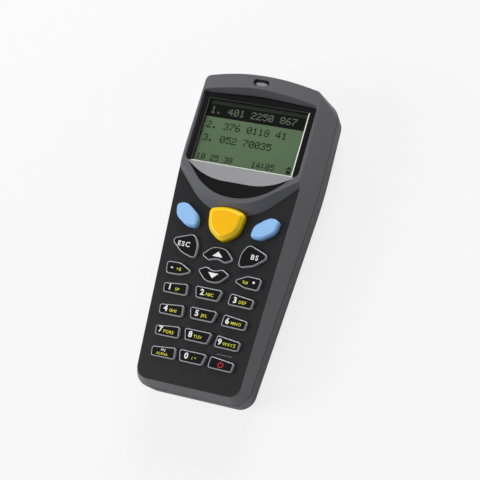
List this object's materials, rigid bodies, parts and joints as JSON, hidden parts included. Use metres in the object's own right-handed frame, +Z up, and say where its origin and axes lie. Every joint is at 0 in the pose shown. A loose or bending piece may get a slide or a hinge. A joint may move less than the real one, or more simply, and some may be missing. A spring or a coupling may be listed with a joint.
{
  "type": "portable barcode data terminal",
  "caption": "Pocket data terminal with a keypad, a small display and a barcode scanner behind a window at its top end.",
  "frame": {"origin": "centre of the footprint, on the surface that the back rests on", "axes": "+X right, +Y towards the scanner end, +Z up out of the keypad"},
  "size_m": [0.0558, 0.1217, 0.0319],
  "materials": {
    "charcoal_plastic": "fine-textured moulded plastic",
    "grey_plastic": "fine-textured moulded plastic",
    "clear_lens": "clear window with a black border",
    "silver_trim": "satin silver",
    "display_green": "reflective dot-matrix glass",
    "board_green": "solder mask",
    "dome_steel": "stamped domes on film",
    "scan_red": "dark red window",
    "engine_black": "black moulded plastic",
    "lamp_grey": "frosted light guide",
    "screw_steel": "blackened steel",
    "cell_jacket": "printed film over a steel can",
    "contact_metal": "nickel plate",
    "key_black": "glossy key cap",
    "key_blue": "satin key cap",
    "key_yellow": "glossy key cap"
  },
  "bodies": {
    "housing": {"front_cover": "charcoal_plastic", "rear_cover": "grey_plastic", "display_lens": "clear_lens", "trim_crescent": "silver_trim", "display_panel": "display_green", "circuit_board": "board_green", "dome_film": "dome_steel", "scan_window": "scan_red", "scan_engine": "engine_black", "indicator_lens": "lamp_grey", "buzzer": "engine_black", "screws": "screw_steel", "cell_1": "cell_jacket", "cell_2": "cell_jacket", "contact_springs": "contact_metal", "contact_plate": "contact_metal"},
    "key_soft_left": {"key_soft_left": "key_blue"},
    "key_soft_right": {"key_soft_right": "key_blue"},
    "key_scan": {"key_scan": "key_yellow"},
    "key_escape": {"key_escape": "key_black"},
    "key_back": {"key_back": "key_black"},
    "key_up": {"key_up": "key_black"},
    "key_down": {"key_down": "key_black"},
    "key_dash": {"key_dash": "key_black"},
    "key_dot": {"key_dot": "key_black"},
    "key_1": {"key_1": "key_black"},
    "key_2": {"key_2": "key_black"},
    "key_3": {"key_3": "key_black"},
    "key_4": {"key_4": "key_black"},
    "key_5": {"key_5": "key_black"},
    "key_6": {"key_6": "key_black"},
    "key_7": {"key_7": "key_black"},
    "key_8": {"key_8": "key_black"},
    "key_9": {"key_9": "key_black"},
    "key_function": {"key_function": "key_black"},
    "key_0": {"key_0": "key_black"},
    "key_power": {"key_power": "key_black"},
    "battery_door": {"battery_door": "grey_plastic"}
  },
  "joints": [
    {"name": "key_soft_left_press", "type": "slide", "parent": "housing", "child": "key_soft_left", "axis": [0, 0.0785, -0.9969], "range_m": [0, 0.0008], "stiffness_N_per_m": 1500},
    {"name": "key_soft_right_press", "type": "slide", "parent": "housing", "child": "key_soft_right", "axis": [0, 0.0785, -0.9969], "range_m": [0, 0.0008], "stiffness_N_per_m": 1500},
    {"name": "key_scan_press", "type": "slide", "parent": "housing", "child": "key_scan", "axis": [0, 0.0785, -0.9969], "range_m": [0, 0.0008], "stiffness_N_per_m": 1500},
    {"name": "key_escape_press", "type": "slide", "parent": "housing", "child": "key_escape", "axis": [0, 0.0785, -0.9969], "range_m": [0, 0.0008], "stiffness_N_per_m": 1500},
    {"name": "key_back_press", "type": "slide", "parent": "housing", "child": "key_back", "axis": [0, 0.0785, -0.9969], "range_m": [0, 0.0008], "stiffness_N_per_m": 1500},
    {"name": "key_up_press", "type": "slide", "parent": "housing", "child": "key_up", "axis": [0, 0.0785, -0.9969], "range_m": [0, 0.0008], "stiffness_N_per_m": 1500},
    {"name": "key_down_press", "type": "slide", "parent": "housing", "child": "key_down", "axis": [0, 0.0785, -0.9969], "range_m": [0, 0.0008], "stiffness_N_per_m": 1500},
    {"name": "key_dash_press", "type": "slide", "parent": "housing", "child": "key_dash", "axis": [0, 0.0785, -0.9969], "range_m": [0, 0.0008], "stiffness_N_per_m": 1500},
    {"name": "key_dot_press", "type": "slide", "parent": "housing", "child": "key_dot", "axis": [0, 0.0785, -0.9969], "range_m": [0, 0.0008], "stiffness_N_per_m": 1500},
    {"name": "key_1_press", "type": "slide", "parent": "housing", "child": "key_1", "axis": [0, 0.0785, -0.9969], "range_m": [0, 0.0008], "stiffness_N_per_m": 1500},
    {"name": "key_2_press", "type": "slide", "parent": "housing", "child": "key_2", "axis": [0, 0.0785, -0.9969], "range_m": [0, 0.0008], "stiffness_N_per_m": 1500},
    {"name": "key_3_press", "type": "slide", "parent": "housing", "child": "key_3", "axis": [0, 0.0785, -0.9969], "range_m": [0, 0.0008], "stiffness_N_per_m": 1500},
    {"name": "key_4_press", "type": "slide", "parent": "housing", "child": "key_4", "axis": [0, 0.0785, -0.9969], "range_m": [0, 0.0008], "stiffness_N_per_m": 1500},
    {"name": "key_5_press", "type": "slide", "parent": "housing", "child": "key_5", "axis": [0, 0.0785, -0.9969], "range_m": [0, 0.0008], "stiffness_N_per_m": 1500},
    {"name": "key_6_press", "type": "slide", "parent": "housing", "child": "key_6", "axis": [0, 0.0785, -0.9969], "range_m": [0, 0.0008], "stiffness_N_per_m": 1500},
    {"name": "key_7_press", "type": "slide", "parent": "housing", "child": "key_7", "axis": [0, 0.0785, -0.9969], "range_m": [0, 0.0008], "stiffness_N_per_m": 1500},
    {"name": "key_8_press", "type": "slide", "parent": "housing", "child": "key_8", "axis": [0, 0.0785, -0.9969], "range_m": [0, 0.0008], "stiffness_N_per_m": 1500},
    {"name": "key_9_press", "type": "slide", "parent": "housing", "child": "key_9", "axis": [0, 0.0785, -0.9969], "range_m": [0, 0.0008], "stiffness_N_per_m": 1500},
    {"name": "key_function_press", "type": "slide", "parent": "housing", "child": "key_function", "axis": [0, 0.0785, -0.9969], "range_m": [0, 0.0008], "stiffness_N_per_m": 1500},
    {"name": "key_0_press", "type": "slide", "parent": "housing", "child": "key_0", "axis": [0, 0.0785, -0.9969], "range_m": [0, 0.0008], "stiffness_N_per_m": 1500},
    {"name": "key_power_press", "type": "slide", "parent": "housing", "child": "key_power", "axis": [0, 0.0785, -0.9969], "range_m": [0, 0.0008], "stiffness_N_per_m": 1500},
    {"name": "battery_door_slide", "type": "slide", "parent": "housing", "child": "battery_door", "axis": [0, -1, 0], "range_m": [0, 0.05]}
  ]
}
